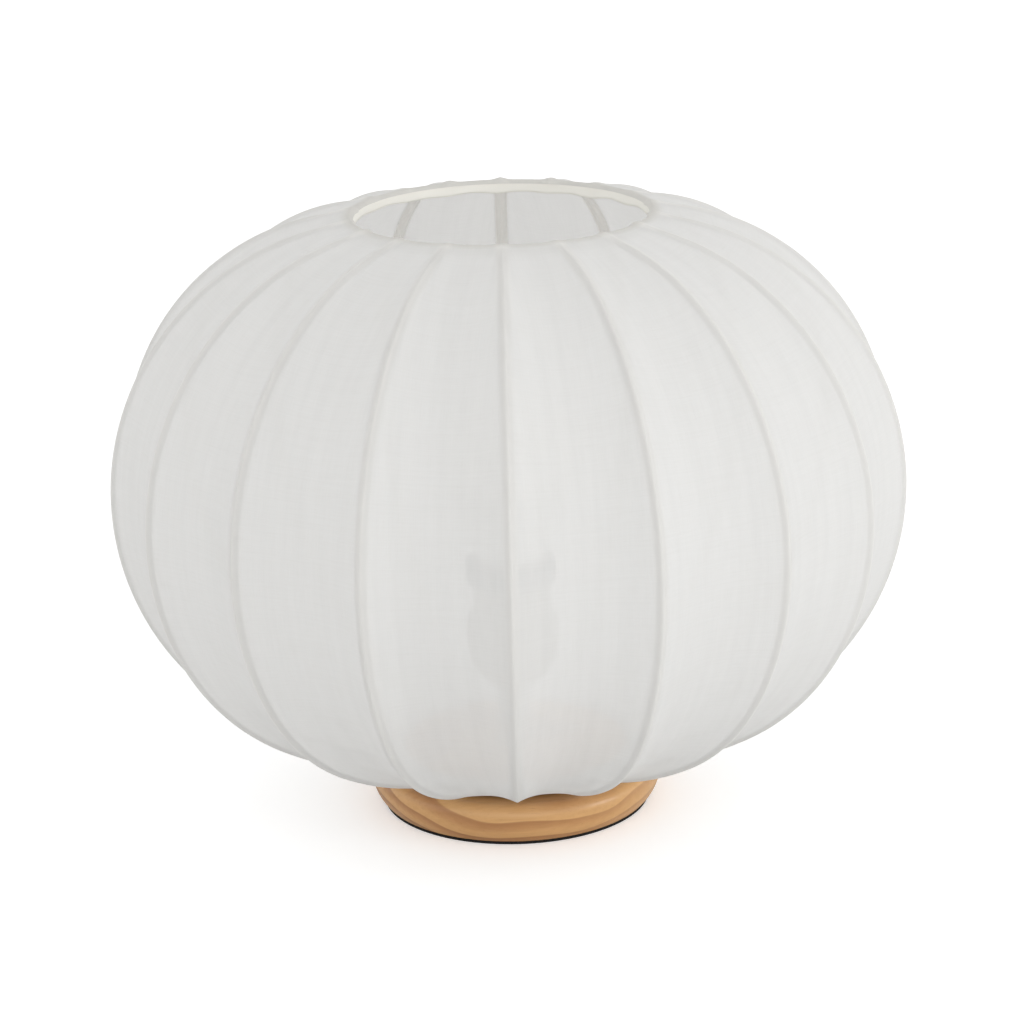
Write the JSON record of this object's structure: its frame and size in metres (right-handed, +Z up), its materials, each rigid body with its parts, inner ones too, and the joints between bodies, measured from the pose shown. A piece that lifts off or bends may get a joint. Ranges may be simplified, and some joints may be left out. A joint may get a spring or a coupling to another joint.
{
  "type": "lantern table lamp",
  "caption": "Round cloth lantern shade on bent wire ribs, lifting off a turned wooden disc base with a lamp holder and a screw-in bulb.",
  "frame": {"origin": "middle of the foot pad's underside, on the shade's axis", "axes": "+Z up along the shade's axis, -Y to the front (one rib lies exactly at -Y), +Y to the cord's hole"},
  "size_m": [0.3446, 0.3498, 0.2688],
  "materials": {
    "cover_cloth": "matte",
    "hem_tape": "matte",
    "wire": "satin",
    "turned_wood": "satin",
    "black_pad": "matte",
    "plated_steel": "satin",
    "holder_plastic": "satin",
    "collar_black": "satin",
    "insulator": "matte",
    "contact_brass": "satin",
    "bulb_white": "satin",
    "led_board": "satin",
    "bulb_opal": "satin"
  },
  "bodies": {
    "base": {"wood_base": "turned_wood", "foot_pad": "black_pad", "cord_grommet": "black_pad", "threaded_tube": "plated_steel", "lower_washer": "plated_steel", "lower_nut": "plated_steel", "spacer_tube": "plated_steel", "holder_cap": "holder_plastic", "holder_insert": "insulator", "terminal_screws": "contact_brass", "centre_contact": "contact_brass", "screw_shell": "contact_brass", "holder_shell": "holder_plastic", "holder_collar": "collar_black"},
    "shade": {"top_ring": "wire", "bottom_ring": "wire", "top_hem": "hem_tape", "bottom_hem": "hem_tape", "rib_01": "wire", "rib_02": "wire", "rib_03": "wire", "rib_04": "wire", "rib_05": "wire", "rib_06": "wire", "rib_07": "wire", "rib_08": "wire", "rib_09": "wire", "rib_10": "wire", "rib_11": "wire", "rib_12": "wire", "rib_13": "wire", "rib_14": "wire", "rib_15": "wire", "rib_16": "wire", "rib_17": "wire", "rib_18": "wire", "cover_panel_01": "cover_cloth", "cover_panel_02": "cover_cloth", "cover_panel_03": "cover_cloth", "cover_panel_04": "cover_cloth", "cover_panel_05": "cover_cloth", "cover_panel_06": "cover_cloth", "cover_panel_07": "cover_cloth", "cover_panel_08": "cover_cloth", "cover_panel_09": "cover_cloth", "cover_panel_10": "cover_cloth", "cover_panel_11": "cover_cloth", "cover_panel_12": "cover_cloth", "cover_panel_13": "cover_cloth", "cover_panel_14": "cover_cloth", "cover_panel_15": "cover_cloth", "cover_panel_16": "cover_cloth", "cover_panel_17": "cover_cloth", "cover_panel_18": "cover_cloth"},
    "bulb_contact": {"bulb_contact": "plated_steel", "bulb_insulator": "collar_black"},
    "bulb": {"bulb_cap": "plated_steel", "bulb_housing": "bulb_white", "led_board": "led_board", "bulb_globe": "bulb_opal"}
  },
  "joints": [
    {"name": "shade_lift", "type": "slide", "parent": "base", "child": "shade", "axis": [0, 0, 1], "range_m": [0, 0.18]},
    {"name": "bulb_rise", "type": "slide", "parent": "base", "child": "bulb_contact", "axis": [0, 0, 1], "range_m": [0, 0.01816]},
    {"name": "bulb_turn", "type": "hinge", "parent": "bulb_contact", "child": "bulb", "pos_m": [0, 0, 0.1], "axis": [0, 0, 1], "range_deg": [0, 1800]}
  ],
  "couplings": [
    {"joint": "bulb_rise", "follows": "bulb_turn", "m_per_rad": 0.00057773}
  ]
}
